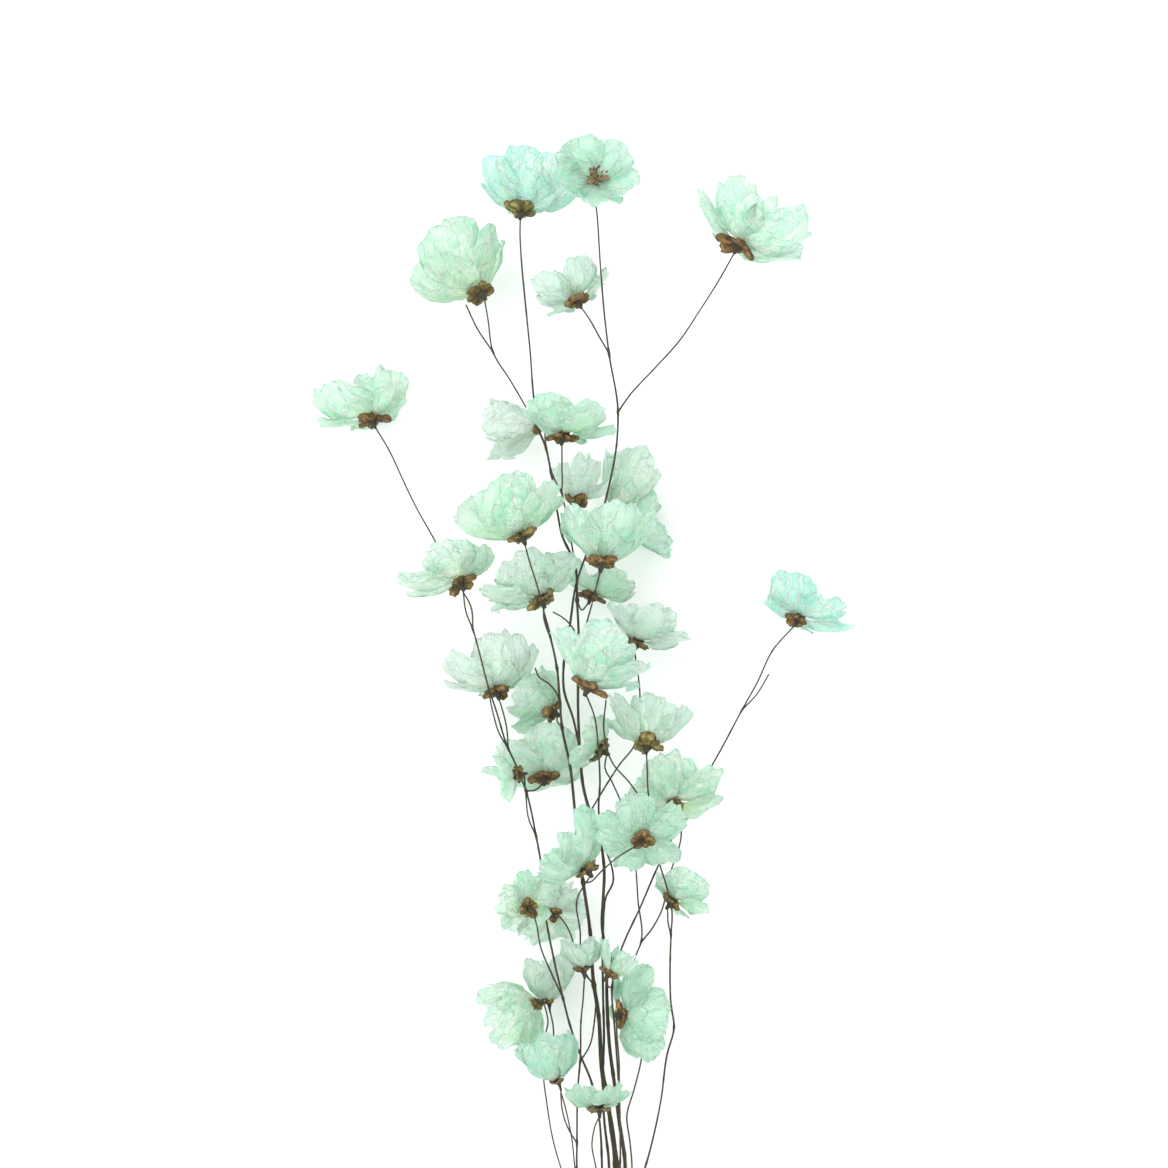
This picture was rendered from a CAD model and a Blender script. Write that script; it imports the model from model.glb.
# A bunch of dried, dyed papery flowers on thin branching stems, lying down and seen from above.
# Everything is worked out in millimetres, as the frame's own solids are, and put in place in metres.
import math
from collections import namedtuple

import bpy
import numpy as np
from mathutils import Matrix, Vector, noise


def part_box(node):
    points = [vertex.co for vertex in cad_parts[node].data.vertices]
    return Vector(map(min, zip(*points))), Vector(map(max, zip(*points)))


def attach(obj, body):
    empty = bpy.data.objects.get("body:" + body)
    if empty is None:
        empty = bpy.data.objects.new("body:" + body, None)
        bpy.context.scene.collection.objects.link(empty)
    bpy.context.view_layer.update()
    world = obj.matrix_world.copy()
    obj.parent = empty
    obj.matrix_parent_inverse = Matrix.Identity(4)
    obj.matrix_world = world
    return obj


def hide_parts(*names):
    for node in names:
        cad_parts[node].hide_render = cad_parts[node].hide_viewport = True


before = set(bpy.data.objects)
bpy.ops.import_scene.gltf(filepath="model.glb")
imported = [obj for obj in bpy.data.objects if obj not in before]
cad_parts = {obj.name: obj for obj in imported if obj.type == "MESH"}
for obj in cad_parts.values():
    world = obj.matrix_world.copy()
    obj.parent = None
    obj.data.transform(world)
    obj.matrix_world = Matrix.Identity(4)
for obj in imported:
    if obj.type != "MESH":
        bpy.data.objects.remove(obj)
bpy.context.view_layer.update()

MM = 0.001

# The view that the flowers and stems are placed by: looking straight down on the bunch
IMAGE_PX = 1168
MM_PER_PIXEL = 0.42  # at the height VIEW_LEVEL
VIEW_CENTRE_PX = (584, 584)
VIEW_DISTANCE = 2000  # from the lens to VIEW_LEVEL
VIEW_LEVEL = 45
SENSOR = 36

# The form of the petals, as the frame's solids have it
PETAL_THICK = 0.6
HUB_RADIUS = 2.4
PETAL_CURL = 26
WIDE_SPREAD = 1.5
WIDE_FROM = 0.5
PINWHEEL = (0.7, 0.07)
RIPPLE = 0.019
RIPPLE_TURNS = (4.2, 2.1)
SOLID_COLUMNS = 3
PETAL_VARIES = {"length": 0.06, "lean": 1.3, "notch": 0.04, "turn": 1.5}
CALYX = {"gap": 0.3, "length": 5.2, "sunk": 1.4, "splay": 22}
TIE = {"px": (604, 1250), "height": 6.3, "hole": 4.9, "cord": 1.5, "turns": 4, "reach": 4}
END_SPLAY = 1.7
TWIG_THICK = (0.5, 0.45)
SEED = 41
HASH = (12.9898, 78.233, 43758.5453)
# Where each row of draws starts: first those that the frame's solids share, then those of the looks
DRAW = {
    "length": 0, "hand": 5, "lean": 20, "notch": 40, "turn": 60,
    "split": 110, "split_depth": 120, "split_at": 130, "split_width": 135,
    "lobe_size": 150, "lobe_turn": 160, "lobe_rise": 170, "lobe_curl": 180,
    "stamen_turn": 200, "stamen_lean": 220, "stamen_length": 240,
}

# at: pixel and height of the flower's middle. aim and lean: of its axis. tint: from a cream foot,
# -1, by mint, 0, to cyan, 1. olive: of its calyx, from brown, 0, to olive, 1.
Bloom = namedtuple("Bloom", "at aim lean petal open count turn tint olive")
BLOOMS = {
    1: Bloom((522, 208, 38), 81, -24, 28, 47, 5, 0, 1.0, 1.0),
    2: Bloom((595, 180, 58), 76, 56, 18.6, 62, 5, 12, 0.6, 0.1),
    3: Bloom((740, 243, 34), 60, -24, 28, 60, 5, 36, 0.4, 0.0),
    4: Bloom((479, 290, 36), 124, -24, 33, 39, 5, 8, -0.6, 0.6),
    5: Bloom((577, 298, 36), 112, -30, 19.8, 57, 5, 30, 0.4, 0.1),
    6: Bloom((371, 417, 18.89), 112, -22, 24.5, 62, 5, 36, 0.3, 0.1),
    7: Bloom((535, 428, 30), 180, -10, 24, 27, 4, 10, 0.2, 0.3),
    8: Bloom((564, 433, 72), 78, -20, 21.5, 62, 5, 36, 0.3, 0.2),
    9: Bloom((577, 500, 39), 80, -20, 20, 32, 4, 20, 0.2, 0.2),
    10: Bloom((615, 505, 24), 66, -6, 27, 24, 4, 0, 0.2, 0.3),
    11: Bloom((521, 533, 78), 110, -20, 28.5, 50, 5, 0, -0.4, 0.6),
    12: Bloom((602, 560, 80), 82, -20, 27.5, 42, 5, 10, 0.4, 0.0),
    13: Bloom((458, 580, 46), 120, -20, 25, 60, 5, 0, -1.0, 0.3),
    14: Bloom((539, 597, 62), 120, -22, 24, 58, 5, 0, 0.3, 0.7),
    15: Bloom((592, 592, 22), 74, -15, 18, 62, 4, 45, 0.3, 0.1),
    16: Bloom((639, 640, 30), 63, -15, 21.5, 54, 5, 12, 0.4, 0.3),
    17: Bloom((590, 684, 80), 65, -14, 28.5, 45, 5, 0, 0.4, 0.1),
    18: Bloom((496, 688, 36), 105, -25, 25, 53, 5, 20, 0.2, 0.2),
    19: Bloom((550, 710, 34), 150, -20, 20, 46, 4, 0, 0.3, 0.3),
    20: Bloom((647, 742, 54), 86, -25, 25, 42, 5, 0, 0.2, 0.8),
    21: Bloom((598, 748, 56), 148, -10, 12.5, 56, 4, 45, 0.1, 1.0),
    22: Bloom((543, 775, 32), 98, -40, 22, 62, 5, 20, 0.3, 0.1),
    23: Bloom((514, 775, 54), 188, -10, 11.5, 50, 4, 45, 0.3, 0.4),
    24: Bloom((675, 801, 43), 100, -42, 23, 70, 5, 0, -0.3, 0.6),
    25: Bloom((584, 867, 69.3), 130, -12, 26, 50, 5, 36, 0.4, 0.4),
    26: Bloom((641, 837, 84), 95, -58, 18.5, 76, 5, 0, 0.3, 0.2),
    27: Bloom((526, 906, 59), 160, -50, 14.5, 72, 5, 0, -0.7, 0.6),
    28: Bloom((552, 912, 24), 120, -60, 16, 74, 5, 0, -0.7, 0.5),
    29: Bloom((674, 900, 36), 46, -28, 15.6, 62, 5, 0, 0.3, 0.4),
    30: Bloom((549, 999, 20), 94, -8, 24, 23, 4, 45, 0.3, 0.3),
    31: Bloom((583, 966, 47.6), 98, 0, 12.5, 27, 4, 45, 0.2, 0.1),
    32: Bloom((611, 971, 54), 54, -8, 13.5, 38, 4, 20, 0.3, 0.3),
    33: Bloom((535, 1005, 33), 214, -22, 24.5, 44, 5, 0, 0.2, 0.6),
    34: Bloom((557, 1078, 54), 110, -5, 22, 33, 5, 0, 0.6, 0.4),
    35: Bloom((625, 1014, 36), 8, -30, 21.5, 64, 5, 0, 0.3, 0.1),
    36: Bloom((599, 1105, 44.2), 94, -12, 14.2, 58, 5, 36, -0.5, 0.9),
    37: Bloom((800, 616, 18.35), 62, -25, 20.5, 66, 5, 36, 1.0, 0.0),
    38: Bloom((635, 528, 15), 12, 2, 18.5, 44, 4, 45, 0.4, 0.2),
}

# Length of each petal of a flower as a share of its petal length, from the first one on, where they
# aren't all alike
SHARES = {
    1: (0.97, 1, 1, 0.92, 0.87),
    2: (1.06, 0.97, 0.95, 1.06, 1.06),
    3: (1.08, 0.95, 0.8, 0.98, 1.04),
    4: (1, 0.78, 0.85, 1, 0.85),
    5: (1, 0.92, 0.95, 0.85, 0.92),
    6: (0.97, 0.75, 0.7, 0.9, 1.05),
    7: (1.04, 0.95, 1.04, 0.98),
    8: (0.98, 0.86, 0.8, 0.85, 1.02),
    9: (1.02, 0.85, 0.85, 0.82),
    10: (1.12, 0.88, 1.05, 0.85),
    11: (1, 0.88, 0.9, 1, 1),
    12: (0.95, 1, 1, 0.9, 0.98),
    13: (0.92, 0.7, 0.85, 1, 1),
    14: (0.97, 0.8, 0.8, 1, 1),
    16: (1, 0.95, 1, 0.8, 0.82),
    17: (1.08, 0.87, 0.8, 0.75, 0.82),
    18: (1.08, 0.9, 0.9, 0.9, 0.9),
    19: (1, 0.9, 0.78, 0.8),
    20: (0.95, 0.86, 0.92, 0.9, 0.93),
    22: (1.1, 0.9, 1.15, 1.15, 0.92),
    23: (1, 0.9, 0.85, 0.8),
    24: (1.05, 0.9, 0.95, 1, 0.8),
    25: (1, 0.85, 0.8, 0.75, 0.78),
    26: (1, 1, 0.92, 0.95, 1),
    27: (0.92, 0.87, 1, 1, 0.78),
    28: (1, 0.86, 0.9, 1.05, 1),
    29: (1.15, 0.8, 0.65, 0.62, 0.7),
    30: (0.84, 0.82, 0.86, 0.86),
    32: (1, 1, 0.9, 0.85),
    33: (1, 0.92, 0.9, 1, 0.88),
    34: (1, 0.97, 0.92, 1, 0.97),
    35: (1.05, 1, 1, 0.75, 1.02),
    36: (1, 0.92, 0.85, 0.95, 1.02),
    37: (1, 1.05, 0.7, 0.72, 1),
    38: (1.05, 1.05, 0.93, 0.93),
}

# A side twig: the flower that it bears, if any, its points from where it starts, and its thickness
Twig = namedtuple("Twig", "bloom path thick", defaults=(TWIG_THICK,))

# slot: the stem's place in the tie, in mm across and up. end: pixel row of its cut end. thick: radius
# at the tie and at the far end. path: pixel and height of each point from the tie up. A twig starts
# at a point of its stem or of another twig.
STEMS = {
    "stem_a": {
        "slot": (1.4, 0.8), "end": 1322, "thick": (1.7, 0.55), "bloom": 14,
        "path": [
            (616, 1168, 15), (611, 1125, 19), (602, 1070, 25), (598, 1010, 31), (594, 985, 33),
            (590, 930, 38), (583, 882, 42), (577, 840, 45), (574, 803, 47), (570, 766, 48),
            (562, 727, 49), (560, 703, 50), (557, 668, 51), (551, 640, 54), (544, 618, 58),
        ],
        "twigs": [
            Twig(11, [(557, 668, 51), (551, 638, 60), (543, 608, 72), (537, 585, 78), (529, 560, 81)]),
            Twig(None, [
                (560, 703, 50), (556, 692, 52), (548, 683, 54), (539, 677, 55), (535, 668, 57),
            ]),
            Twig(19, [(562, 727, 49), (557, 721, 42)]),
            Twig(26, [(583, 882, 42), (590, 882, 54), (605, 868, 76), (624, 853, 89)]),
            Twig(25, [(594, 985, 33), (586, 975, 32), (580, 930, 40), (577, 900, 55)]),
            Twig(28, [(586, 975, 32), (577, 962, 29), (574, 945, 30), (566, 925, 32), (558, 915, 32)]),
        ],
    },
    "stem_b": {
        "slot": (2.2, -2.2), "end": 1312, "thick": (1.3, 0.45), "bloom": 1,
        "path": [
            (625, 1168, 13), (619, 1120, 18), (614, 1080, 21), (610, 1050, 24), (607, 1000, 28),
            (606, 955, 31), (602, 925, 33), (603, 900, 36), (604, 868, 39), (600, 840, 41),
            (590, 812, 42), (584, 790, 42), (580, 750, 42), (578, 700, 42), (579, 648, 44),
            (577, 600, 46), (575, 565, 48), (562, 535, 50), (557, 510, 50), (551, 472, 50),
            (545, 445, 50), (538, 428, 50), (534, 400, 48), (530, 350, 44), (525, 300, 42),
            (521, 255, 40), (520, 232, 39),
        ],
        "twigs": [
            Twig(4, [(538, 428, 50), (523, 402, 45), (510, 380, 42), (493, 352, 40), (488, 320, 39)]),
            Twig(None, [(493, 352, 40), (478, 330, 34), (466, 305, 26)]),
            Twig(7, [(551, 472, 50), (547, 450, 40), (545, 438, 34)]),
            Twig(8, [(551, 472, 50), (561, 490, 60), (562, 465, 70)]),
            Twig(None, [(561, 490, 60), (566, 512, 57), (575, 565, 48)]),
            Twig(12, [(579, 648, 44), (586, 625, 58), (593, 600, 74)]),
            Twig(15, [(577, 600, 46), (582, 610, 34)]),
            Twig(None, [(579, 648, 44), (574, 630, 48), (562, 617, 52), (553, 612, 54)]),
            Twig(16, [(590, 812, 42), (605, 787, 41), (620, 764, 36), (634, 746, 31), (640, 700, 27)]),
            Twig(2, [
                (580, 750, 42), (573, 718, 38), (564, 690, 36), (564, 662, 36), (570, 625, 36),
                (576, 585, 38), (588, 550, 42), (600, 520, 44), (608, 490, 46), (617, 440, 48),
                (618, 412, 48), (609, 353, 48), (604, 310, 48), (600, 260, 49), (597, 215, 50),
            ], (0.75, 0.45)),
            Twig(5, [(609, 353, 48), (600, 338, 45), (590, 320, 40)]),
            Twig(3, [
                (618, 412, 48), (630, 395, 46), (655, 368, 43), (680, 340, 41), (700, 310, 39),
                (719, 280, 37),
            ]),
            Twig(9, [(588, 550, 42), (582, 532, 40)]),
            Twig(10, [(600, 520, 44), (605, 521, 32)]),
            Twig(38, [(588, 550, 42), (597, 546, 27), (606, 538, 16)]),
        ],
    },
    "stem_c": {
        "slot": (3.9, 0.9), "end": 1318, "thick": (0.65, 0.45), "bloom": 20, "knot": (674, 1027, 20),
        "path": [
            (645, 1168, 10), (655, 1130, 12), (661, 1100, 14), (667, 1055, 17), (674, 1027, 20),
            (671, 1005, 23), (670, 970, 28), (671, 935, 34), (672, 912, 39), (667, 888, 44),
            (660, 865, 48), (654, 840, 51), (651, 815, 53), (648, 790, 54), (647, 765, 55),
        ],
        "twigs": [
            Twig(29, [(671, 935, 34), (668, 922, 36)]),
            Twig(None, [
                (651, 815, 53), (629, 782, 60), (612, 762, 64), (604, 730, 62), (606, 700, 58),
            ]),
        ],
    },
    "stem_d": {
        "slot": (-2.7, 0.8), "end": 1305, "thick": (0.7, 0.45), "bloom": 31,
        "path": [
            (577, 1168, 20), (577, 1143, 25), (578, 1085, 21), (580, 1062, 18), (581, 1020, 31),
            (583, 1000, 40),
        ],
        "twigs": [
            Twig(34, [(577, 1143, 25), (570, 1132, 32), (562, 1108, 46)]),
            Twig(None, [(580, 1062, 18), (590, 1045, 16), (594, 1025, 17), (596, 1003, 19)]),
        ],
    },
    "stem_e": {
        "slot": (-0.9, -0.6), "end": 1316, "thick": (0.75, 0.45), "bloom": 13,
        "path": [
            (602, 1168, 12), (599, 1118, 14), (590, 1078, 20), (582, 1059, 24), (570, 1025, 30),
            (563, 998, 35), (553, 955, 40), (546, 918, 42), (543, 877, 44), (536, 836, 45),
            (526, 791, 45), (516, 765, 46), (508, 748, 47), (497, 713, 51), (487, 682, 54),
            (480, 655, 54), (473, 630, 51), (466, 612, 48),
        ],
        "twigs": [
            Twig(6, [
                (473, 630, 51), (471, 607, 34), (462, 590, 20), (448, 565, 16), (434, 539, 18),
                (415, 505, 22), (403, 480, 25), (390, 452, 27),
            ]),
            Twig(18, [(508, 748, 47), (507, 730, 43), (503, 712, 40)]),
            Twig(None, [(508, 748, 47), (499, 733, 51), (493, 713, 54), (487, 682, 54)]),
            Twig(22, [(526, 791, 45), (535, 790, 40)]),
            Twig(23, [(536, 836, 45), (529, 820, 48), (526, 797, 53)]),
            Twig(27, [(563, 998, 35), (550, 970, 40), (541, 948, 50), (536, 922, 60)]),
        ],
    },
    "stem_f": {
        "slot": (-1.2, -2.6), "end": 1308, "thick": (0.9, 0.5), "bloom": 17,
        "path": [
            (609, 1168, 10), (604, 1117, 12), (603, 1070, 16), (604, 1040, 20), (603, 990, 24),
            (603, 930, 28), (606, 897, 32), (613, 882, 36), (612, 868, 40), (606, 850, 44),
            (599, 815, 50), (600, 780, 62), (598, 745, 70), (594, 715, 77),
        ],
        "twigs": [],
    },
    "stem_g": {
        "slot": (4, -1), "end": 1300, "thick": (0.5, 0.45), "bloom": 21,
        "path": [
            (632, 1168, 9), (630, 1142, 9), (627, 1115, 9), (634, 1090, 8), (642, 1055, 7),
            (643, 1020, 6), (638, 985, 7), (634, 962, 9), (641, 942, 12), (638, 900, 20),
            (635, 860, 28), (626, 815, 38), (618, 795, 44), (611, 780, 50), (605, 768, 54),
        ],
        "twigs": [
            Twig(24, [(641, 942, 12), (651, 930, 10), (661, 912, 9), (669, 878, 12), (681, 838, 26)]),
        ],
    },
    "stem_h": {
        "slot": (1.9, 3.3), "end": 1310, "thick": (0.65, 0.45), "bloom": 37,
        "path": [
            (620, 1168, 20), (620, 1125, 23), (619, 1093, 26), (617, 1060, 30), (614, 1020, 34),
            (612, 988, 36), (616, 965, 36), (623, 945, 35), (640, 908, 30), (660, 862, 22),
            (685, 815, 17), (705, 778, 18), (725, 742, 21), (742, 710, 23), (757, 683, 23),
            (773, 650, 22),
        ],
        "twigs": [
            Twig(32, [(612, 988, 36), (608, 986, 46)]),
            Twig(35, [(619, 1093, 26), (619, 1060, 37), (617, 1035, 43)]),
            Twig(None, [(742, 710, 23), (757, 694, 27), (769, 674, 28)]),
        ],
    },
    "stem_i": {
        "slot": (-4, 0), "end": 1302, "thick": (0.45, 0.45), "bloom": 33,
        "path": [
            (561, 1168, 6), (553, 1140, 8), (547, 1105, 10), (543, 1070, 13), (544, 1040, 18),
            (548, 1022, 26),
        ],
        "twigs": [],
    },
    "stem_j": {
        "slot": (-3.3, -1), "end": 1306, "thick": (0.45, 0.45), "bloom": 30,
        "path": [
            (575, 1168, 9), (572, 1140, 10), (566, 1110, 11), (558, 1080, 13), (554, 1045, 16),
            (553, 1025, 19),
        ],
        "twigs": [],
    },
    "stem_k": {
        "slot": (-0.9, 3.6), "end": 1298, "thick": (0.45, 0.45), "bloom": 36,
        "path": [(596, 1168, 20), (592, 1145, 26), (594, 1130, 32)],
        "twigs": [],
    },
}


def chance(seed, step):
    """A number from 0 to 1, always the same for a seed and a step, as in the frame's source."""
    wave = math.sin((seed + SEED) * HASH[0] + step * HASH[1]) * HASH[2]
    return wave - math.floor(wave)


def jitter(seed, step, size):
    return (chance(seed, step) * 2 - 1) * size


def smoothstep(x, low, high):
    t = np.clip((x - low) / (high - low), 0, 1)
    return t * t * (3 - 2 * t)


def field(x, y, z):
    """Smooth noise at each point of two arrays, about -1 to 1."""
    x, y = np.broadcast_arrays(x, y)
    values = [noise.noise(Vector((a, b, z))) for a, b in zip(x.ravel(), y.ravel())]
    return np.array(values).reshape(x.shape)


def place(x, y, height):
    """The point at that height on the line of sight through a pixel, in mm."""
    scale = MM_PER_PIXEL * (1 - (height - VIEW_LEVEL) / VIEW_DISTANCE)
    return np.array(((x - VIEW_CENTRE_PX[0]) * scale, (VIEW_CENTRE_PX[1] - y) * scale, height))


# The frame's origin is under the middle of the bunch. The tie tells how far that is from the view's.
tie_low, tie_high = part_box("twine_tie")
tie_middle = np.array((tie_low + tie_high) / 2) / MM
ORIGIN = tie_middle - place(*TIE["px"], TIE["height"])
ORIGIN[2] = 0


def frame_of(bloom):
    """Rotation and middle of a flower: it opens along its Z, and its X faces up."""
    aim, lean = math.radians(bloom.aim), math.radians(bloom.lean)
    level, rise = math.cos(lean), math.sin(lean)
    axis = np.array((level * math.cos(aim), level * math.sin(aim), rise))
    front = np.array((-rise * math.cos(aim), -rise * math.sin(aim), level))
    return np.stack((front, np.cross(axis, front), axis), axis=1), place(*bloom.at)


def in_place(bloom, points):
    turn, middle = frame_of(bloom)
    return points @ turn.T + middle


def shown(name, data):
    obj = bpy.data.objects.new(name, data)
    bpy.context.scene.collection.objects.link(obj)
    return obj


class Shell:
    """A mesh in the making: points in mm, faces, and values that the materials read at each point."""

    def __init__(self):
        self.points = []
        self.faces = []
        self.values = {}
        self.count = 0

    def add(self, points, faces, **values):
        points = np.asarray(points, float).reshape(-1, 3)
        self.faces.extend([tuple(i + self.count for i in face) for face in faces])
        self.points.append(points)
        for name, value in values.items():
            value = np.broadcast_to(np.asarray(value, float).reshape(-1, 3), (len(points), 3))
            self.values.setdefault(name, []).append(value)
        self.count += len(points)

    def piece(self, name, material, replaces=()):
        points = (np.concatenate(self.points) + ORIGIN) * MM
        mesh = bpy.data.meshes.new(name)
        mesh.from_pydata(points.tolist(), [], self.faces)
        for key, parts in self.values.items():
            attribute = mesh.attributes.new(key, "FLOAT_VECTOR", "POINT")
            attribute.data.foreach_set("vector", np.concatenate(parts).astype(np.float32).ravel())
        mesh.shade_smooth()
        mesh.materials.append(material)
        obj = shown(name, mesh)
        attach(obj, "root")
        if replaces:
            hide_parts(*replaces)
        return obj


def grid_faces(rows, columns, first=0, turned=False):
    """Quads of a grid of points, row by row."""
    faces = []
    for row in range(rows - 1):
        for column in range(columns - 1):
            a = first + row * columns + column
            quad = (a, a + columns, a + columns + 1, a + 1)
            faces.append(quad[::-1] if turned else quad)
    return faces


def closed_sheet(middle, thick):
    """Points and faces of a thin closed sheet round a grid of points, with thick at each of them."""
    rows, columns, _ = middle.shape
    down, over = np.gradient(middle, axis=0), np.gradient(middle, axis=1)
    normal = np.cross(down, over)
    normal /= np.linalg.norm(normal, axis=2, keepdims=True) + 1e-12
    offset = normal * (np.broadcast_to(thick, (rows, columns)) / 2)[..., None]
    points = np.concatenate(((middle + offset).reshape(-1, 3), (middle - offset).reshape(-1, 3)))
    size = rows * columns
    faces = grid_faces(rows, columns) + grid_faces(rows, columns, size, True)
    border = [c for c in range(columns)]
    border += [r * columns + columns - 1 for r in range(1, rows)]
    border += [(rows - 1) * columns + c for c in range(columns - 2, -1, -1)]
    border += [r * columns for r in range(rows - 2, 0, -1)]
    for a, b in zip(border, border[1:] + border[:1]):
        faces.append((a, b, b + size, a + size))
    return points, faces


def both_sides(values):
    """Values at the points of a grid, for both sides of the closed sheet round it."""
    values = values.reshape(-1, 3)
    return np.concatenate((values, values))


def ring_faces(rings, sides):
    """Quads between rings of points, with both ends closed."""
    faces = []
    for ring in range(rings - 1):
        for side in range(sides):
            a, b = ring * sides + side, ring * sides + (side + 1) % sides
            faces.append((a, b, b + sides, a + sides))
    last = (rings - 1) * sides
    faces.append(tuple(range(sides))[::-1])
    faces.append(tuple(range(last, last + sides)))
    return faces


# Petals
PAPER_THICK = 0.14
ROWS = 24
COLUMNS = 31
# Waves of the rim: how often, and how deep as a share of the petal's length
RAGGED = ((1.7, 0.1), (4.3, 0.08), (11, 0.035), (29, 0.016))
# How much shorter a petal is towards its corners: power and share. Part of it is on every petal, and
# part goes with how ragged the flower is.
CORNERS = ((2, 0.13), (6, 0.26))
CORNER_PARTS = (0.4, 0.6)
BASE_SPREAD = 1.15  # wider than the solids' base, to leave no hole by the middle
TIP_NARROW = 0.24  # how much narrower a petal gets towards its rim, as a share
TIP_RANGE = (0.55, 1.2)
SPLIT = {"share": 0.6, "depth": (0.05, 0.2), "width": (0.04, 0.13)}
# Crumples: how often across and along, in waves a mm, and height in mm
CRUMPLES = ((0.07, 0.06, 2.0), (0.17, 0.11, 1.0))
CREASES = ((0.18, 0.08, 1.4), (0.4, 0.18, 0.4))
PLEATS = {"turns": 13, "wander": 4, "height": 0.12}
RIM_CURLS = ((0.13, 3.2), (0.4, 1.4))  # how often, in waves a mm, and height in mm
LOWEST = 0.2  # petals that touch the surface lie on it
# How round the ends of a flower's petals are, where they aren't like most, 1, and what a step of it
# takes off the sides of an end, as a share of the petal's length
ROUNDS = {5: 3.2, 7: 1.6, 9: 1.2, 15: 1.6, 27: 1.6, 30: 1.6, 38: 1.6}
ROUNDING = 0.07
# Width of a flower's petals as a share of the usual
NARROW = {
    1: 1.1, 4: 1.12, 5: 0.95, 9: 0.65, 10: 0.7, 15: 0.85, 21: 0.85, 23: 0.8, 26: 0.8, 32: 0.65,
}
# How strongly a flower is dyed, from pale, -1, to deep, 1, where it isn't like most
DYES = {
    2: 0.5, 5: -0.5, 7: -1.0, 8: 0.5, 9: -0.8, 10: -0.4, 12: 0.3, 13: -0.4, 14: -0.5, 16: -0.8,
    18: -0.8, 20: -0.5, 22: -0.4, 25: 0.5, 26: 0.8, 28: -0.6, 30: -0.6, 31: -0.5, 34: 0.5, 35: 0.8,
    36: 0.6,
}
# How ragged the rims of a flower's petals are, where they aren't like most
RAGS = {
    1: 0.4, 2: 0.6, 3: 1.6, 4: 0.3, 5: 2.2, 10: 0.7, 11: 0.7, 13: 1.4, 15: 1.4, 16: 1.3, 21: 1.5,
    23: 1.5, 24: 1.3, 25: 1.5, 26: 1.9, 27: 1.4, 28: 1.5, 29: 0.7, 32: 1.8, 36: 1.4,
}


def petal_sheet(bloom, number, petal):
    """Middle surface of a petal in the flower's own frame, and what the material reads of it."""
    along, across = np.meshgrid(np.linspace(0, 1, ROWS), np.linspace(-1, 1, COLUMNS), indexing="ij")
    key = number * 17.3 + petal * 5.1
    sector = math.pi / bloom.count
    whole = bloom.petal * (1 + jitter(number, DRAW["length"] + petal, PETAL_VARIES["length"]))
    length = whole * (SHARES[number][petal] if number in SHARES else 1)
    lean = bloom.open + jitter(number, DRAW["lean"] + petal, PETAL_VARIES["lean"])
    start = math.radians(lean + PETAL_CURL)
    bend = math.radians(-2 * PETAL_CURL) / whole  # a shortened petal only ends earlier
    narrow = NARROW.get(number, 1)
    wide_spread = WIDE_SPREAD * narrow
    spread = sector * (BASE_SPREAD + (wide_spread - BASE_SPREAD) * smoothstep(along, 0, WIDE_FROM))
    spread *= 1 - TIP_NARROW * smoothstep(along, *TIP_RANGE)

    steps = range(-SOLID_COLUMNS, SOLID_COLUMNS + 1, 2)
    notches = [jitter(number, DRAW["notch"] + petal * 7 + step, PETAL_VARIES["notch"]) for step in steps]
    rim = np.interp(across, [step / SOLID_COLUMNS for step in steps], notches)
    rag = RAGS.get(number, 1)
    fixed, ragged = CORNER_PARTS
    for power, share in CORNERS:
        rim -= (fixed + ragged * rag) * share * narrow**2 * np.abs(across) ** power
    rim -= ROUNDING * (ROUNDS.get(number, 1) - 1) * across**2
    for often, size in RAGGED:
        rim += rag * size * field(across * often, np.zeros_like(across), key + often)
    if chance(number, DRAW["split"] + petal) < SPLIT["share"]:
        low, high = SPLIT["depth"]
        depth = low + (high - low) * chance(number, DRAW["split_depth"] + petal)
        at = jitter(number, DRAW["split_at"] + petal, 0.7)
        thin, broad = SPLIT["width"]
        width = thin + (broad - thin) * chance(number, DRAW["split_width"] + petal)
        rim -= rag * depth * np.exp(-(((across - at) / width) ** 2))
    run = length * along * (1 + rim * along**2)

    angle = start + bend * run
    radius = HUB_RADIUS + (math.cos(start) - np.cos(angle)) / bend
    rise = (np.sin(angle) - math.sin(start)) / bend
    wide = across * spread * radius
    phase = across * RIPPLE_TURNS[0] + petal * RIPPLE_TURNS[1] + number
    hand = -1 if chance(number, DRAW["hand"]) < 0.5 else 1
    off = hand * (PINWHEEL[0] + PINWHEEL[1] * run) * across
    off += np.sin(phase) * RIPPLE * length * along**2

    loose = smoothstep(along, 0, 0.45)
    for wide_often, run_often, height in CRUMPLES:
        off += height * loose * field(wide * wide_often, run * run_often, key + height)
    for wide_often, run_often, height in CREASES:
        crease = np.abs(field(wide * wide_often, run * run_often, key + 7 + height))
        off += height * loose * (0.2 - crease)
    wander = PLEATS["wander"] * field(across * 2, along * 2, key + 3)
    off += PLEATS["height"] * smoothstep(along, 0, 0.2) * np.sin(across * PLEATS["turns"] + wander)
    for often, height in RIM_CURLS:
        off += height * along**6 * field(wide * often, along * 0, key + 11 + often)

    twist = math.radians(bloom.turn + jitter(number, DRAW["turn"] + petal, PETAL_VARIES["turn"]))
    turn = twist + sector * 2 * petal + across * spread
    outward = np.stack((np.cos(turn), np.sin(turn), np.zeros_like(turn)), axis=2)
    normal = outward * -np.cos(angle)[..., None]
    normal[..., 2] = np.sin(angle)
    points = outward * radius[..., None]
    points[..., 2] = rise
    points += normal * off[..., None]
    return points, across, along, wide, run, key


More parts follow.
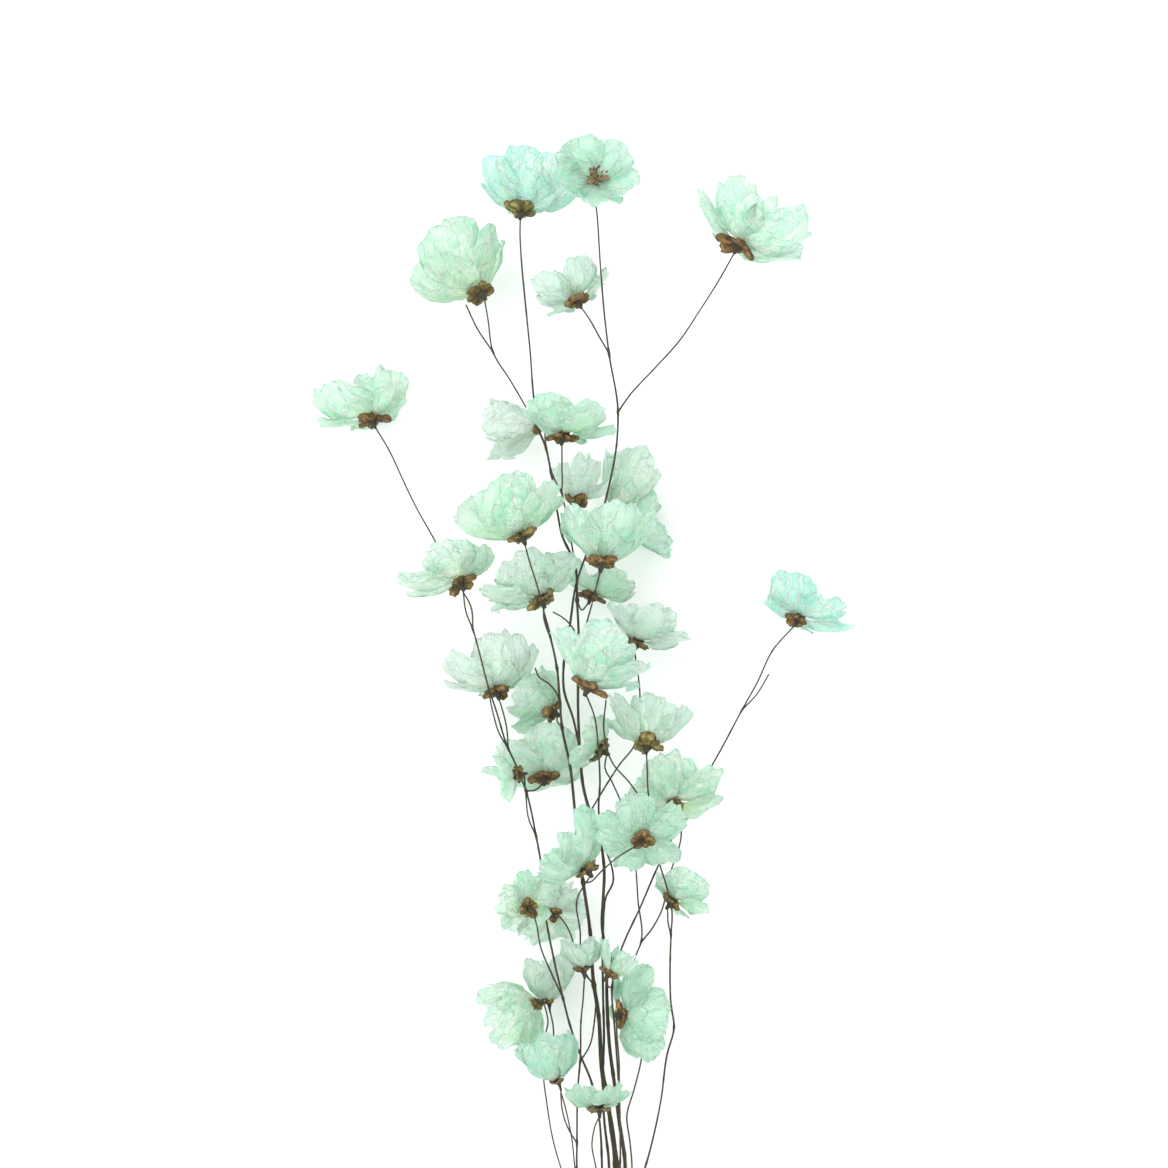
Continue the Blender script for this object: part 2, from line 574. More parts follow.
def petals(number, bloom, material):
    shell = Shell()
    for petal in range(bloom.count):
        middle, across, along, wide, run, key = petal_sheet(bloom, number, petal)
        middle = in_place(bloom, middle)
        middle[..., 2] = np.maximum(middle[..., 2], LOWEST)
        points, faces = closed_sheet(middle, PAPER_THICK)
        paper = np.stack((wide, run, np.full_like(across, key)), axis=2)
        petal_at = np.stack((along, across, np.full_like(across, bloom.tint)), axis=2)
        dye = (DYES.get(number, 0), 0, 0)
        shell.add(points, faces, paper=both_sides(paper), petal=both_sides(petal_at), dye=dye)
    return shell.piece(f"flower_{number:02d}", material, [f"petals_{number:02d}"])


# Calyx: the dark cone at the end of a stalk and its thick lobes
CONE = (
    (0.62, -5.7), (0.85, -4.9), (1.1, -4.0), (1.55, -3.0), (2.15, -2.0), (2.5, -1.2), (2.3, -0.5),
    (1.2, 0.1),
)
LOBES = 6
LOBE = {"from": (1.4, -1.9), "length": 5.4, "width": 2.7, "thick": 0.6, "curl": 0.5, "cup": 0.7}
FOLDS = {"turns": 4.4, "height": 0.42, "wander": 1.6}
LOBE_ROWS = 12
LOBE_COLUMNS = 13
CONE_SIDES = 16
TYPICAL_PETAL = 24
CALYX_SIZES = {  # where they don't follow from the petals
    3: 1.25, 7: 0.6, 10: 0.55, 20: 0.9, 21: 1.05, 24: 0.6, 26: 0.75, 27: 0.7, 28: 0.6, 30: 0.5,
    32: 0.65, 33: 0.55, 34: 0.5, 35: 0.85, 37: 0.85,
}
FRONT_LOBE = {5: 1.5, 20: 1.5}  # flowers with one large lobe that faces the viewer, and its size
RECEPTACLE = ((2.5, -0.25), (2.45, 0.35), (1.9, 0.8), (1.0, 1.15), (0.3, 1.3))


def lathe(profile, sides, key, rough):
    """Rings of points round Z, in the flower's own frame."""
    turns = np.arange(sides) * 2 * math.pi / sides
    rings = []
    for radius, height in profile:
        swell = 1 + rough * field(np.cos(turns) * 1.6, np.sin(turns) * 1.6, key + height * 0.4)
        across, over = radius * swell * np.cos(turns), radius * swell * np.sin(turns)
        rings.append(np.stack((across, over, np.full(sides, height)), 1))
    return np.concatenate(rings)


def calyx(number, bloom, material, stem_node):
    shell = Shell()
    size = CALYX_SIZES.get(number, (bloom.petal / TYPICAL_PETAL) ** 0.5)
    cone = lathe(CONE, CONE_SIDES, number, 0.16) * (size, size, 1)
    tone = np.zeros((len(cone), 3))
    tone[:, 0] = np.repeat(np.linspace(0, 0.25, len(CONE)), CONE_SIDES)
    tone[:, 1] = bloom.olive
    faces = ring_faces(len(CONE), CONE_SIDES)
    shell.add(in_place(bloom, cone), faces, grain=cone + number * 9, tone=tone)
    rise = math.pi / 2 - math.radians(bloom.open + PETAL_CURL + CALYX["splay"])
    t, s = np.meshgrid(np.linspace(0, 1, LOBE_ROWS), np.linspace(-1, 1, LOBE_COLUMNS), indexing="ij")
    for lobe in range(LOBES):
        key = number * 3.7 + lobe * 1.9
        big = size * (0.62 + 0.66 * chance(number, DRAW["lobe_size"] + lobe))
        turn = lobe + 0.5 + jitter(number, DRAW["lobe_turn"] + lobe, 0.22)
        turn *= 2 * math.pi / LOBES
        folded = 1
        if number in FRONT_LOBE:
            turn -= math.pi / LOBES
            if lobe == 0:
                big, turn, folded = size * FRONT_LOBE[number], 0, 0.4
        head = rise + jitter(number, DRAW["lobe_rise"] + lobe, 0.2)
        curl = LOBE["curl"] + jitter(number, DRAW["lobe_curl"] + lobe, 0.6)
        length = LOBE["length"] * big
        bend = curl / length
        run = t * length
        angle = head + bend * run
        out = LOBE["from"][0] * size + (np.sin(angle) - math.sin(head)) / bend
        up = LOBE["from"][1] + (math.cos(head) - np.cos(angle)) / bend
        width = LOBE["width"] * big * np.sqrt(np.clip(1 - (2 * t**1.2 - 0.9) ** 2 / 1.22, 0.02, 1))
        side = s * width * (1 + 0.18 * field(t * 3, s * 0 + 1, key))
        lift = LOBE["cup"] * big * s**2 + 0.5 * field(t * 3.2, s * 2.2, key + 5)
        fold = np.cos(s * FOLDS["turns"] + FOLDS["wander"] * field(t * 2, s * 1.5, key + 9) + key)
        lift += FOLDS["height"] * folded * big * fold * smoothstep(t, 0, 0.4)
        base = np.stack((out - lift * np.sin(angle), side, up + lift * np.cos(angle)), axis=2)
        base = base @ np.array(Matrix.Rotation(turn, 3, "Z")).T
        thick = LOBE["thick"] * np.sqrt(np.clip(1 - 0.9 * s**2, 0, 1))
        thick = thick * np.sqrt(np.clip(1.02 - t**5, 0, 1)) + 0.1
        points, faces = closed_sheet(in_place(bloom, base), thick)
        edge = np.maximum(np.maximum(np.abs(s) ** 3, t**4), smoothstep(-fold, 0.1, 1) * 0.9 * folded)
        tone = np.stack((0.45 + 0.55 * t, np.full_like(t, bloom.olive), edge), axis=2)
        shell.add(points, faces, grain=both_sides(base) + number * 9, tone=both_sides(tone))
    return shell.piece(f"calyx_{number:02d}", material, [stem_node])


def run_along(points):
    """How far along a path each of its points is."""
    return np.concatenate(((0,), np.cumsum(np.linalg.norm(np.diff(points, axis=0), axis=1))))


def frames_along(points, up=(0, 0, 1)):
    """Two directions across a path at each of its points, which turn with it as little as they can."""
    tangents = np.gradient(points, axis=0)
    tangents /= np.linalg.norm(tangents, axis=1, keepdims=True)
    normal = np.cross(tangents[0], up)
    if np.linalg.norm(normal) < 0.1:
        normal = np.cross(tangents[0], (1, 0, 0))
    normals = []
    for tangent in tangents:
        normal = normal - tangent * normal.dot(tangent)
        normal /= np.linalg.norm(normal)
        normals.append(normal)
    return np.array(normals), np.cross(tangents, normals)


def sweep(points, radii, sides, key=0.0, ribs=0.0):
    """Rings of points along a path, their faces, and turn, run and radius at each point."""
    points = np.asarray(points, float)
    turns = np.arange(sides) * 2 * math.pi / sides
    rings, values = [], []
    normals, overs = frames_along(points)
    for point, normal, over, radius, way in zip(points, normals, overs, radii, run_along(points)):
        around = radius * (1 + ribs * np.cos(turns * 5 + way * 0.05 + key))
        spokes = np.cos(turns)[:, None] * normal + np.sin(turns)[:, None] * over
        rings.append(point + around[:, None] * spokes)
        values.append(np.stack((turns, np.full(sides, way), np.full(sides, radius)), axis=1))
    return np.concatenate(rings), ring_faces(len(points), sides), np.concatenate(values)


# Stems
STEP = 1.2  # mm between rings
STEM_SIDES = 10
THICKEST = 1.7  # radius
# The thinnest stems are finer than their solids: radius of the solid, and share of it
STEM_SLIM = ((0.45, 1.2, THICKEST), (0.72, 0.68, 0.95))
STEM_WAVES = {"often": 0.08, "share": 0.12}
BARK_RIBS = 0.07
KNUCKLE = {"size": 0.55, "length": 1.3}
# Lesser knuckles along the stretches of thicker stems
NODES_ALONG = {"every": 34, "varies": 7, "clear": 8, "size": 0.4, "from_radius": 0.6}


def smooth_path(knots):
    """A smooth curve through the knots, a point every STEP mm, and which of its points are knots."""
    knots = np.asarray(knots, float)
    gaps = np.linalg.norm(np.diff(knots, axis=0), axis=1)
    slopes = np.diff(knots, axis=0) / gaps[:, None]
    tangents = np.empty_like(knots)
    tangents[0], tangents[-1] = slopes[0], slopes[-1]
    if len(knots) > 2:
        left, right = gaps[:-1, None], gaps[1:, None]
        tangents[1:-1] = (slopes[:-1] * right + slopes[1:] * left) / (left + right)
    points, marks = [knots[0]], [0]
    for a, b, ta, tb, gap in zip(knots, knots[1:], tangents, tangents[1:], gaps):
        count = max(2, round(gap / STEP))
        for i in range(1, count + 1):
            t = i / count
            h = (2 * t**3 - 3 * t**2 + 1, t**3 - 2 * t**2 + t, -2 * t**3 + 3 * t**2, t**3 - t**2)
            points.append(h[0] * a + h[1] * gap * ta + h[2] * b + h[3] * gap * tb)
        marks.append(len(points) - 1)
    return np.array(points), marks


def foot_of(number):
    """Where a flower's stalk ends, inside its calyx."""
    depth = PETAL_THICK / 2 + CALYX["gap"] + CALYX["length"] - CALYX["sunk"]
    return in_place(BLOOMS[number], np.array((0, 0, -depth)))


def stalk(shell, knots, thick, key, forks):
    points, marks = smooth_path(knots)
    run = run_along(points)
    waves = STEM_WAVES["share"] * field(run * STEM_WAVES["often"], run * 0, key)
    radii = np.interp(run, (0, run[-1]), thick) * (1 + waves)
    radii *= np.interp(radii, *STEM_SLIM)
    bumps = [(run[marks[i]], 1) for i in forks]
    if thick[0] > NODES_ALONG["from_radius"]:
        for at in np.arange(NODES_ALONG["every"], run[-1] - NODES_ALONG["clear"], NODES_ALONG["every"]):
            bumps.append((at + jitter(key, at, NODES_ALONG["varies"]), NODES_ALONG["size"]))
    for at, size in bumps:
        radii *= 1 + KNUCKLE["size"] * size * np.exp(-(((run - at) / KNUCKLE["length"]) ** 2))
    rings, faces, values = sweep(points, radii, STEM_SIDES, key, BARK_RIBS)
    values[:, 2] = np.clip(values[:, 2] / THICKEST, 0, 1)
    shell.add(rings, faces, stem=values, grain=rings + (0, 0, key * 3))


def stem(name, spec, material):
    shell = Shell()
    tie_x, tie_y = TIE["px"]
    reach = TIE["reach"] / MM_PER_PIXEL

    def slot(spread, row):
        at = place(tie_x, row, TIE["height"])
        return (at[0] + spec["slot"][0] * spread, at[1], TIE["height"] + spec["slot"][1] * spread)

    starts = [twig.path[0] for twig in spec["twigs"]] + [spec.get("knot")]
    knots = [slot(END_SPLAY, spec["end"]), slot(1, tie_y + reach), slot(1, tie_y - reach)]
    forks = [i + len(knots) for i, at in enumerate(spec["path"]) if at in starts]
    knots += [place(*at) for at in spec["path"]] + [foot_of(spec["bloom"])]
    key = ord(name[-1]) * 1.7
    stalk(shell, knots, spec["thick"], key, forks)
    for i, twig in enumerate(spec["twigs"]):
        knots = [place(*at) for at in twig.path]
        forks = [0] + [j for j, at in enumerate(twig.path) if j and at in starts]
        if twig.bloom:
            knots.append(foot_of(twig.bloom))
        stalk(shell, knots, twig.thick, key + i + 1, forks)
    return shell.piece(f"{name}_bark", material, [name])


# The middle of a flower: stamens, and in flower 2 dried lobes as well
INNER_LOBES = {2: ((100, 5.2, 1.6), (215, 4.2, 1.7), (330, 4.6, 1.4))}  # turn, length and half width
GOLDEN_TURN = 2.399
STAMEN_POINTS = 7
STAMENS = {
    "count": 16, "length": (3.2, 6.2), "lean": (8, 52), "thick": 0.11, "anther": (0.85, 0.34),
    "whole_from": 20,  # petal length below which they are shorter
}


def stamens(number, bloom, material):
    shell = Shell()
    core = lathe(RECEPTACLE, CONE_SIDES, number + 50, 0.12)
    faces = ring_faces(len(RECEPTACLE), CONE_SIDES)
    shell.add(in_place(bloom, core), faces, tone=(0.8, 0, 0), grain=core)
    t, s = np.meshgrid(np.linspace(0, 1, LOBE_ROWS), np.linspace(-1, 1, LOBE_COLUMNS), indexing="ij")
    for turn, length, half in INNER_LOBES.get(number, ()):
        turn = math.radians(turn)
        out = 0.6 + t * length
        up = 1.1 + 1.4 * np.sin(t * 2.4) + 0.6 * field(t * 3, s * 2, turn)
        side = s * half * np.sqrt(np.clip(1 - (2 * t**1.3 - 0.9) ** 2 / 1.22, 0.02, 1))
        side *= 1 + 0.3 * field(t * 3, s * 0, turn + 4)
        base = np.stack((out, side, up), axis=2) @ np.array(Matrix.Rotation(turn, 3, "Z")).T
        points, faces = closed_sheet(in_place(bloom, base), 0.6)
        shell.add(points, faces, tone=(0.78, 0, 0), grain=both_sides(base))
    for i in range(STAMENS["count"]):
        turn = (i + 0.7 * chance(number, DRAW["stamen_turn"] + i)) * GOLDEN_TURN
        low, high = STAMENS["lean"]
        lean = math.radians(low + (high - low) * chance(number, DRAW["stamen_lean"] + i))
        short, long = STAMENS["length"]
        length = short + (long - short) * chance(number, DRAW["stamen_length"] + i)
        length *= min(1, bloom.petal / STAMENS["whole_from"])
        tilt = lean * (0.5 + 0.7 * np.linspace(0, 1, STAMEN_POINTS))
        outward = 0.9 + np.cumsum(np.sin(tilt)) * length / STAMEN_POINTS
        height = 0.9 + np.cumsum(np.cos(tilt)) * length / STAMEN_POINTS
        points = np.stack((outward * math.cos(turn), outward * math.sin(turn), height), axis=1)
        rings, faces, _ = sweep(points, np.full(STAMEN_POINTS, STAMENS["thick"]), 5)
        shell.add(in_place(bloom, rings), faces, tone=(0.66, 0, 0), grain=rings)
        ahead = points[-1] - points[-2]
        ahead /= np.linalg.norm(ahead)
        half, wide = STAMENS["anther"]
        steps = np.linspace(-1, 1, STAMEN_POINTS)
        tip = points[-1] + ahead * half * 0.6 + np.outer(steps, ahead * half)
        rings, faces, _ = sweep(tip, wide * np.sqrt(1.04 - steps**2), 8)
        shell.add(in_place(bloom, rings), faces, tone=(1, 0, 0), grain=rings)
    return shell.piece(f"stamens_{number:02d}", material)


# The tie: turns of two-ply twine with a knot on top
PLY = {"radius": 0.43, "off": 0.36, "twist": 3.4, "sides": 7}
KNOT = {"size": 1.0, "tail": 9}


def twine(shell, centre_line, key):
    """Two plies twisted round a line."""
    points = np.asarray(centre_line, float)
    sides, overs = frames_along(points, (0.3, 0.2, 1))
    run = run_along(points)
    for ply in range(2):
        turn = (run / PLY["twist"] * 2 * math.pi + ply * math.pi)[:, None]
        line = points + PLY["off"] * (np.cos(turn) * sides + np.sin(turn) * overs)
        rings, faces, values = sweep(line, np.full(len(line), PLY["radius"]), PLY["sides"], key)
        rings[:, 2] = np.maximum(rings[:, 2], 0.02)
        shell.add(rings, faces, stem=values, grain=rings + ply * 7)


def tie(material):
    shell = Shell()
    middle = place(*TIE["px"], TIE["height"])
    radius = TIE["hole"] + TIE["cord"] / 2
    pitch = TIE["cord"] * 0.9
    turn = np.linspace(0, TIE["turns"] * 2 * math.pi, 60 * TIE["turns"]) + math.pi / 2
    along = (turn - turn[0]) / (2 * math.pi) * pitch - pitch * TIE["turns"] / 2
    twine(shell, middle + np.stack((radius * np.cos(turn), along, radius * np.sin(turn)), axis=1), 1)
    t = np.linspace(0.35, 2 * math.pi - 0.35, 90)
    loop = (np.sin(t) + 2 * np.sin(2 * t), np.cos(t) - 2 * np.cos(2 * t), -np.sin(3 * t))
    top = middle + (0, 0, radius + TIE["cord"] * 0.9)
    loop = np.stack(loop, axis=1) * KNOT["size"] * (0.8, 0.8, 0.7)
    out = np.linspace(1, 0, 14)[:, None]
    ahead, behind = loop[0] - loop[1], loop[-1] - loop[-2]
    first = loop[0] + ahead / np.linalg.norm(ahead) * out * KNOT["tail"] * 0.5
    last = loop[-1] + behind / np.linalg.norm(behind) * (1 - out) * KNOT["tail"] * 0.6
    first[:, 2] -= out[:, 0] ** 2 * 2.2
    last[:, 2] -= (1 - out[:, 0]) ** 2 * 3
    twine(shell, top + np.concatenate((first, loop[1:-1], last)), 2)
    return shell.piece("twine_knotted", material, ["twine_tie"])


# Materials
class Nodes:
    """Short names for making and joining a material's nodes."""

    def __init__(self, name):
        self.material = bpy.data.materials.new(name)
        self.material.use_nodes = True
        self.tree = self.material.node_tree
        self.tree.nodes.clear()

    def new(self, kind, inputs=(), **settings):
        node = self.tree.nodes.new(kind)
        for key, value in settings.items():
            setattr(node, key, value)
        for key, value in dict(inputs).items():
            if isinstance(value, bpy.types.NodeSocket):
                self.tree.links.new(value, node.inputs[key])
            else:
                node.inputs[key].default_value = value
        return node

    def value(self, name):
        return self.new("ShaderNodeAttribute", attribute_name=name).outputs["Vector"]

    def part(self, vector):
        return self.new("ShaderNodeSeparateXYZ", {0: vector}).outputs

    def math(self, operation, a, b=0.0, clamp=False):
        return self.new("ShaderNodeMath", {0: a, 1: b}, operation=operation, use_clamp=clamp).outputs[0]

    def times(self, a, b, clamp=False):
        return self.math("MULTIPLY", a, b, clamp)

    def total(self, *parts):
        """The parts added up, each times its weight."""
        result = self.times(*parts[0])
        for part in parts[1:]:
            result = self.math("ADD", result, self.times(*part))
        return result

    def vector(self, x, y, z=0.0):
        return self.new("ShaderNodeCombineXYZ", {0: x, 1: y, 2: z}).outputs[0]

    def scaled(self, vector, scale):
        return self.new("ShaderNodeVectorMath", {0: vector, 1: scale}, operation="MULTIPLY").outputs[0]

    def moved(self, vector, other):
        return self.new("ShaderNodeVectorMath", {0: vector, 1: other}, operation="ADD").outputs[0]

    def noise(self, vector, scale, detail=3.0, rough=0.55):
        inputs = {"Vector": vector, "Scale": scale, "Detail": detail, "Roughness": rough}
        return self.new("ShaderNodeTexNoise", inputs).outputs

    def ramp(self, factor, *stops):
        node = self.new("ShaderNodeValToRGB", {"Fac": factor})
        elements = node.color_ramp.elements
        while len(elements) < len(stops):
            elements.new(1)
        for element, (at, colour) in zip(elements, stops):
            element.position = at
            element.color = (*colour, 1) if len(colour) == 3 else colour
        return node.outputs["Color"]

    def range(self, value, low, high, new_low=0.0, new_high=1.0):
        inputs = {0: value, 1: low, 2: high, 3: new_low, 4: new_high}
        return self.new("ShaderNodeMapRange", inputs).outputs[0]

    def mix(self, factor, a, b, blend="MIX"):
        node = self.new("ShaderNodeMix", data_type="RGBA", blend_type=blend)
        for index, value in ((0, factor), (6, a), (7, b)):
            if isinstance(value, bpy.types.NodeSocket):
                self.tree.links.new(value, node.inputs[index])
            else:
                node.inputs[index].default_value = value if index == 0 else (*value, 1)
        return node.outputs[2]

    def bump(self, height, strength, distance):
        inputs = {"Height": height, "Strength": strength, "Distance": distance}
        return self.new("ShaderNodeBump", inputs).outputs[0]

    def principled(self, colour, rough, shine, **more):
        inputs = {"Base Color": colour, "Roughness": rough, "Specular IOR Level": shine, **more}
        return self.new("ShaderNodeBsdfPrincipled", inputs).outputs[0]

    def done(self, shader):
        self.new("ShaderNodeOutputMaterial", {"Surface": shader})
        return self.material


def petal_material():
    n = Nodes("dyed_petal")
    paper = n.value("paper")
    key = n.part(paper)[2]
    along, across, tint = n.part(n.value("petal"))
    dye = n.part(n.value("dye"))[0]
    warp = n.noise(n.scaled(paper, (0.13, 0.1, 1)), 1.0, 3)[1]

    def lines(vector, wander, thin, soft):
        """Thin curved lines, where a noise crosses its middle."""
        vector = n.moved(vector, n.scaled(warp, (wander, wander, 0)))
        level = n.math("ABSOLUTE", n.math("SUBTRACT", n.noise(vector, 1.0, 2)[0], 0.5))
        return n.range(level, thin, soft, 1.0, 0.0)

    fan = n.vector(n.times(across, 3.4), along, key)
    veins = lines(n.scaled(fan, (1, 0.8, 1)), 0.8, 0.004, 0.05)
    threads = lines(n.scaled(fan, (3.2, 1.6, 1)), 1.2, 0.01, 0.12)
    folds = lines(n.scaled(paper, (0.11, 0.075, 1)), 0.9, 0.002, 0.022)
    valleys = lines(n.scaled(paper, (0.16, 0.11, 1)), 1.3, 0.0, 0.05)

    def net(scale, wander, soft):
        """Crumpled paper: the lines between its facets, and a value for each facet."""
        vector = n.moved(n.scaled(paper, (*scale, 1)), n.scaled(warp, (wander, wander, 0)))
        inputs = {"Vector": vector, "Scale": 1.0}
        edge = n.new("ShaderNodeTexVoronoi", inputs, feature="DISTANCE_TO_EDGE").outputs["Distance"]
        facet = n.part(n.new("ShaderNodeTexVoronoi", inputs).outputs["Color"])[0]
        return n.range(edge, 0.01, soft, 1.0, 0.0), facet, edge

    wide_net, wide_facet, wide_slope = net((0.19, 0.13), 1.3, 0.05)
    fine_net, fine_facet, fine_slope = net((0.46, 0.36), 2.0, 0.10)
    tiny_net, tiny_facet, _ = net((1.05, 0.85), 2.4, 0.14)
    shown = n.range(n.noise(n.scaled(paper, (0.12, 0.12, 1)), 1.0, 2)[0], 0.4, 0.6, 0.4, 1.0)
    nets = (wide_net, fine_net, tiny_net)
    wide_net, fine_net, tiny_net = (n.times(net_lines, shown) for net_lines in nets)
    blotch = n.noise(n.scaled(paper, (0.07, 0.08, 1)), 1.0, 3)[0]
    cloud = n.noise(n.scaled(paper, (0.25, 0.19, 1)), 1.0, 4)[0]
    inner = n.range(along, 0.25, 0.8, 1.0, 0.25)

    colour = n.ramp(
        along,
        (0.0, (0.70, 0.64, 0.27)),
        (0.08, (0.77, 0.81, 0.46)),
        (0.22, (0.68, 0.87, 0.64)),
        (0.45, (0.70, 0.895, 0.74)),
        (0.7, (0.80, 0.92, 0.83)),
        (0.95, (0.83, 0.93, 0.86)),
        (1.0, (0.44, 0.77, 0.65)),
    )
    rays = n.range(n.noise(n.scaled(fan, (2.4, 0.5, 1)), 1.0, 3)[0], 0.45, 0.62)
    near = n.range(along, 0.25, 0.85, 0.65, 0.0)
    beside = n.range(n.math("ABSOLUTE", across), 0.8, 1.0, 0.0, 0.6)
    creamy = n.times(n.times(tint, -1.0, True), n.range(along, 0.12, 0.75, 0.85, 0.0))
    cyan = n.range(tint, 0.25, 1.0, 0.0, 0.85)
    deep = n.mix(cyan, (0.51, 0.86, 0.66), (0.49, 0.88, 0.81))
    patches = n.times(n.range(blotch, 0.49, 0.6, 0.0, 0.9), n.range(along, 0.45, 0.95, 1.0, 0.45))
    facets = n.total((wide_facet, 0.2), (fine_facet, 0.22), (tiny_facet, 0.1))
    # What lies over the petal's own colour, from the first layer to the last: share and colour
    for share, layer in (
        (n.times(rays, near), (0.50, 0.82, 0.61)),
        (beside, (0.50, 0.80, 0.68)),
        (creamy, (0.86, 0.885, 0.62)),
        (cyan, (0.60, 0.91, 0.87)),
        (patches, deep),
        (n.range(blotch, 0.44, 0.32, 0.0, 0.5), (0.83, 0.89, 0.68)),
        (n.range(cloud, 0.45, 0.6, 0.0, 0.8), (0.905, 0.93, 0.89)),
        (facets, deep),
        (n.times(valleys, 0.25), (0.52, 0.80, 0.65)),
        (n.times(n.times(veins, inner), 0.32), (0.94, 0.955, 0.84)),
        (n.times(n.times(threads, inner), 0.12), (0.92, 0.96, 0.86)),
        (n.times(tiny_net, 0.35), (0.93, 0.94, 0.92)),
        (n.times(fine_net, 0.62), (0.94, 0.945, 0.925)),
        (n.times(wide_net, 0.7), (0.945, 0.95, 0.93)),
        (n.times(folds, 0.5), (0.955, 0.955, 0.94)),
        (n.range(dye, 0.0, -1.0, 0.0, 0.7), (0.93, 0.95, 0.93)),
        (n.range(dye, 0.0, 1.0, 0.0, 0.6), (0.62, 0.82, 0.70)),
    ):
        colour = n.mix(share, colour, layer)

    height = n.total(
        (fine_net, 0.5), (n.math("ADD", folds, wide_net), 1.0), (veins, 0.5), (threads, 0.2),
        (valleys, -0.5), (wide_slope, 4.5), (fine_slope, 1.4),
    )
    normal = n.bump(height, 0.9, 0.00042)
    front = n.principled(colour, 0.6, 0.25, Normal=normal)
    dyed = n.mix(1.0, colour, (0.965, 1.0, 0.985), "MULTIPLY")  # light that comes through is greener
    through = n.new("ShaderNodeBsdfTranslucent", {"Color": dyed, "Normal": normal}).outputs[0]
    return n.done(n.new("ShaderNodeMixShader", {0: 0.66, 1: front, 2: through}).outputs[0])


def calyx_material():
    n = Nodes("dried_calyx")
    grain = n.value("grain")
    part, olive, edge = n.part(n.value("tone"))
    mottle = n.noise(grain, 0.4, 3)[0]
    wrinkle = n.noise(n.scaled(grain, (1, 1, 0.4)), 1.9, 5, 0.65)[0]
    shade = n.total((part, 0.45), (mottle, 0.8), (wrinkle, 0.3))
    brown = n.ramp(
        n.range(shade, 0.55, 1.15),
        (0.15, (0.018, 0.009, 0.004)),
        (0.5, (0.165, 0.084, 0.02)),
        (0.85, (0.43, 0.27, 0.09)),
    )
    green = n.ramp(
        n.range(shade, 0.55, 1.15),
        (0.15, (0.020, 0.017, 0.004)),
        (0.5, (0.17, 0.145, 0.03)),
        (0.85, (0.46, 0.40, 0.14)),
    )
    lobe = n.mix(olive, brown, green)
    lobe = n.mix(n.times(edge, 0.75), lobe, (0.022, 0.013, 0.005))
    cone = n.ramp(wrinkle, (0.3, (0.016, 0.013, 0.007)), (0.7, (0.06, 0.052, 0.03)))
    colour = n.mix(n.range(part, 0.2, 0.5), cone, lobe)
    normal = n.bump(wrinkle, 0.8, 0.0004)
    return n.done(n.principled(colour, 0.62, 0.35, Normal=normal))


def bark_material():
    n = Nodes("dried_stem")
    grain = n.value("grain")
    turn, run, radius = n.part(n.value("stem"))
    lines = n.vector(n.times(turn, 1.3), n.times(run, 0.06))
    streak = n.noise(n.moved(lines, n.scaled(grain, (0.02, 0.02, 0.02))), 1.0, 5, 0.7)[0]
    patch = n.noise(grain, 0.06, 3)[0]
    thin = n.ramp(streak, (0.3, (0.024, 0.017, 0.012)), (0.7, (0.08, 0.06, 0.044)))
    thick = n.ramp(
        streak,
        (0.3, (0.010, 0.009, 0.003)),
        (0.55, (0.035, 0.031, 0.010)),
        (0.8, (0.09, 0.08, 0.025)),
    )
    bark = n.mix(n.range(radius, 0.3, 0.6), thin, thick)
    bark = n.mix(n.range(patch, 0.5, 0.68, 0.0, 0.6), bark, (0.055, 0.06, 0.018))
    normal = n.bump(streak, 0.6, 0.0003)
    return n.done(n.principled(bark, 0.68, 0.3, Normal=normal))


def stamen_material():
    n = Nodes("dried_stamens")
    grain = n.value("grain")
    part, _, _ = n.part(n.value("tone"))
    mottle = n.noise(grain, 2.4, 4)[0]
    anther = n.ramp(mottle, (0.35, (0.05, 0.028, 0.016)), (0.65, (0.19, 0.11, 0.06)))
    filament = n.ramp(mottle, (0.35, (0.30, 0.24, 0.12)), (0.65, (0.52, 0.46, 0.27)))
    colour = n.mix(n.range(part, 0.6, 0.9), filament, anther)
    normal = n.bump(mottle, 0.5, 0.0002)
    return n.done(n.principled(colour, 0.7, 0.25, Normal=normal))


def twine_material():
    n = Nodes("jute_twine")
    grain = n.value("grain")
    turn, run, _ = n.part(n.value("stem"))
    twist = n.vector(n.times(turn, 1.6), n.times(run, 0.35))
    fibre = n.noise(twist, 2.2, 5, 0.7)[0]
    patch = n.noise(grain, 0.4, 3)[0]
    colour = n.ramp(
        fibre,
        (0.3, (0.16, 0.095, 0.04)),
        (0.55, (0.40, 0.27, 0.13)),
        (0.8, (0.62, 0.47, 0.27)),
    )
    colour = n.mix(n.range(patch, 0.45, 0.65, 0.0, 0.5), colour, (0.30, 0.20, 0.10))
    normal = n.bump(fibre, 0.8, 0.0003)
    return n.done(n.principled(colour, 0.85, 0.2, Normal=normal))


petal_paper = petal_material()
calyx_skin = calyx_material()
bark = bark_material()
stamen_skin = stamen_material()

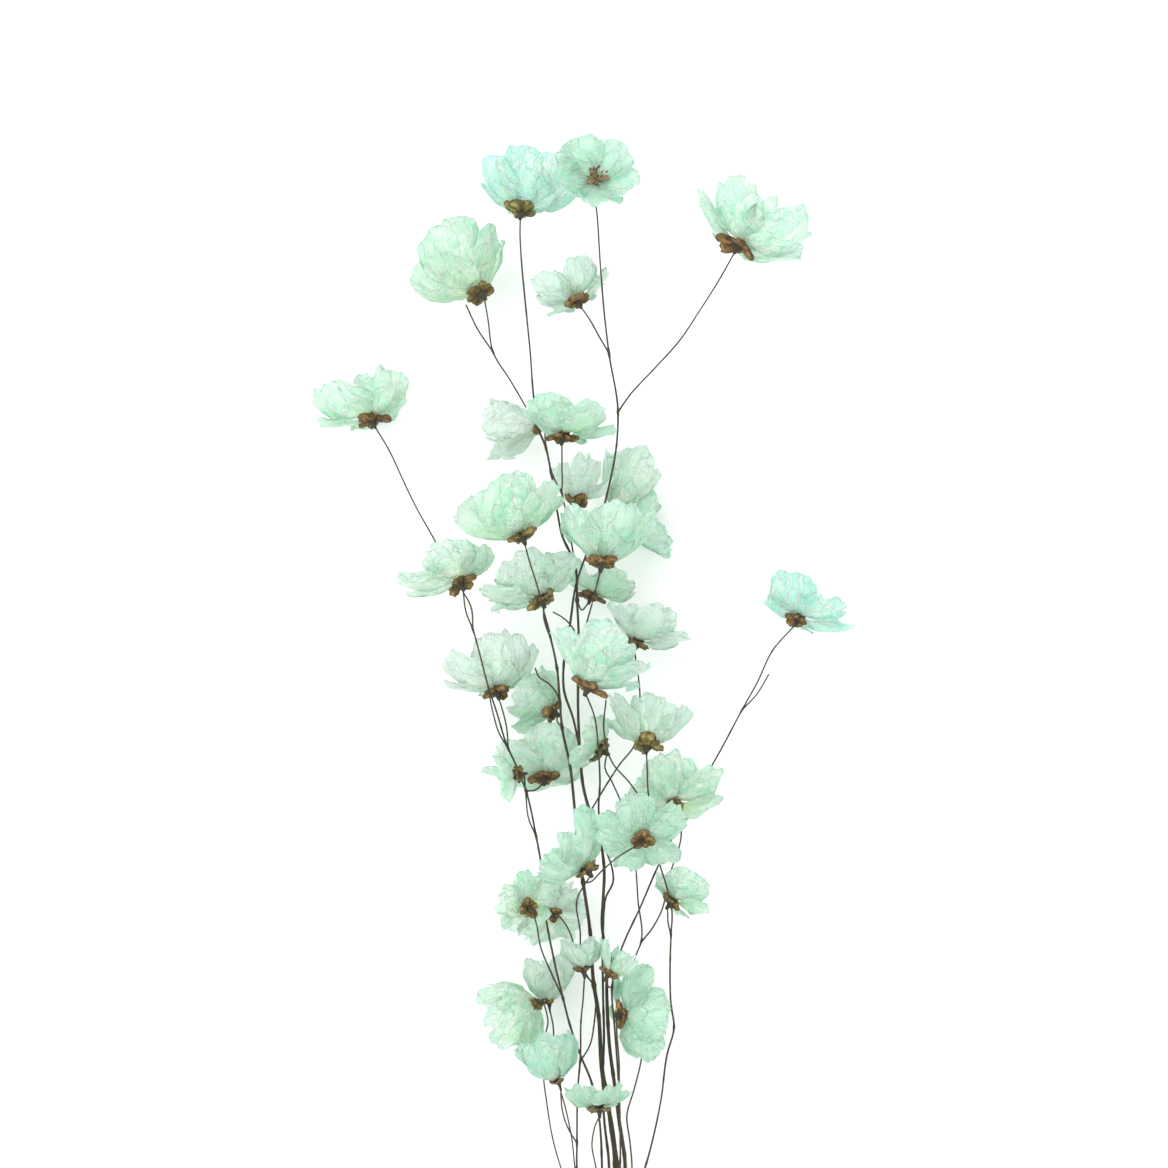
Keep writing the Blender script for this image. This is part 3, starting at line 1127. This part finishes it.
stem_of = {}
for stem_name, stem_spec in STEMS.items():
    stem(stem_name, stem_spec, bark)
    for number in [stem_spec["bloom"]] + [twig.bloom for twig in stem_spec["twigs"]]:
        stem_of[number] = stem_name
for flower_number, flower in BLOOMS.items():
    petals(flower_number, flower, petal_paper)
    stamens(flower_number, flower, stamen_skin)
    calyx(flower_number, flower, calyx_skin, stem_of[flower_number])
tie(twine_material())

# Floor, light and camera
FLOOR_SIZE = 30
FLOOR_WHITE = 0.95
SKY = 1.36
KEY = {"at": (-0.9, 0.5, 1.7), "size": 1.6, "power": 15}


def floor():
    n = Nodes("pale_floor")
    cloud = n.noise(n.new("ShaderNodeTexCoord").outputs["Object"], 3.0, 2)[0]
    colour = n.ramp(cloud, (0.3, (FLOOR_WHITE - 0.01,) * 3), (0.7, (FLOOR_WHITE,) * 3))
    half = FLOOR_SIZE / 2
    corners = [(-half, -half, 0), (half, -half, 0), (half, half, 0), (-half, half, 0)]
    mesh = bpy.data.meshes.new("floor")
    mesh.from_pydata(corners, [], [(0, 1, 2, 3)])
    mesh.materials.append(n.done(n.principled(colour, 0.9, 0.1)))
    obj = shown("floor", mesh)


def lights():
    world = bpy.data.worlds.new("studio")
    world.use_nodes = True
    background = world.node_tree.nodes["Background"]
    background.inputs["Color"].default_value = (1, 1, 1, 1)
    background.inputs["Strength"].default_value = SKY
    bpy.context.scene.world = world
    lamp = bpy.data.lights.new("key", "AREA")
    lamp.energy = KEY["power"]
    lamp.size = KEY["size"]
    obj = shown("key", lamp)
    obj.location = KEY["at"]
    obj.rotation_mode = "QUATERNION"
    obj.rotation_quaternion = (-Vector(KEY["at"])).to_track_quat("-Z", "Y")


def camera():
    lens = bpy.data.cameras.new("camera")
    lens.sensor_width = SENSOR
    lens.lens = SENSOR * VIEW_DISTANCE / (IMAGE_PX * MM_PER_PIXEL)
    obj = shown("camera", lens)
    obj.location = (np.array((0, 0, VIEW_LEVEL + VIEW_DISTANCE)) + ORIGIN) * MM
    bpy.context.scene.camera = obj


floor()
lights()
camera()
bpy.context.scene.view_settings.view_transform = "Standard"
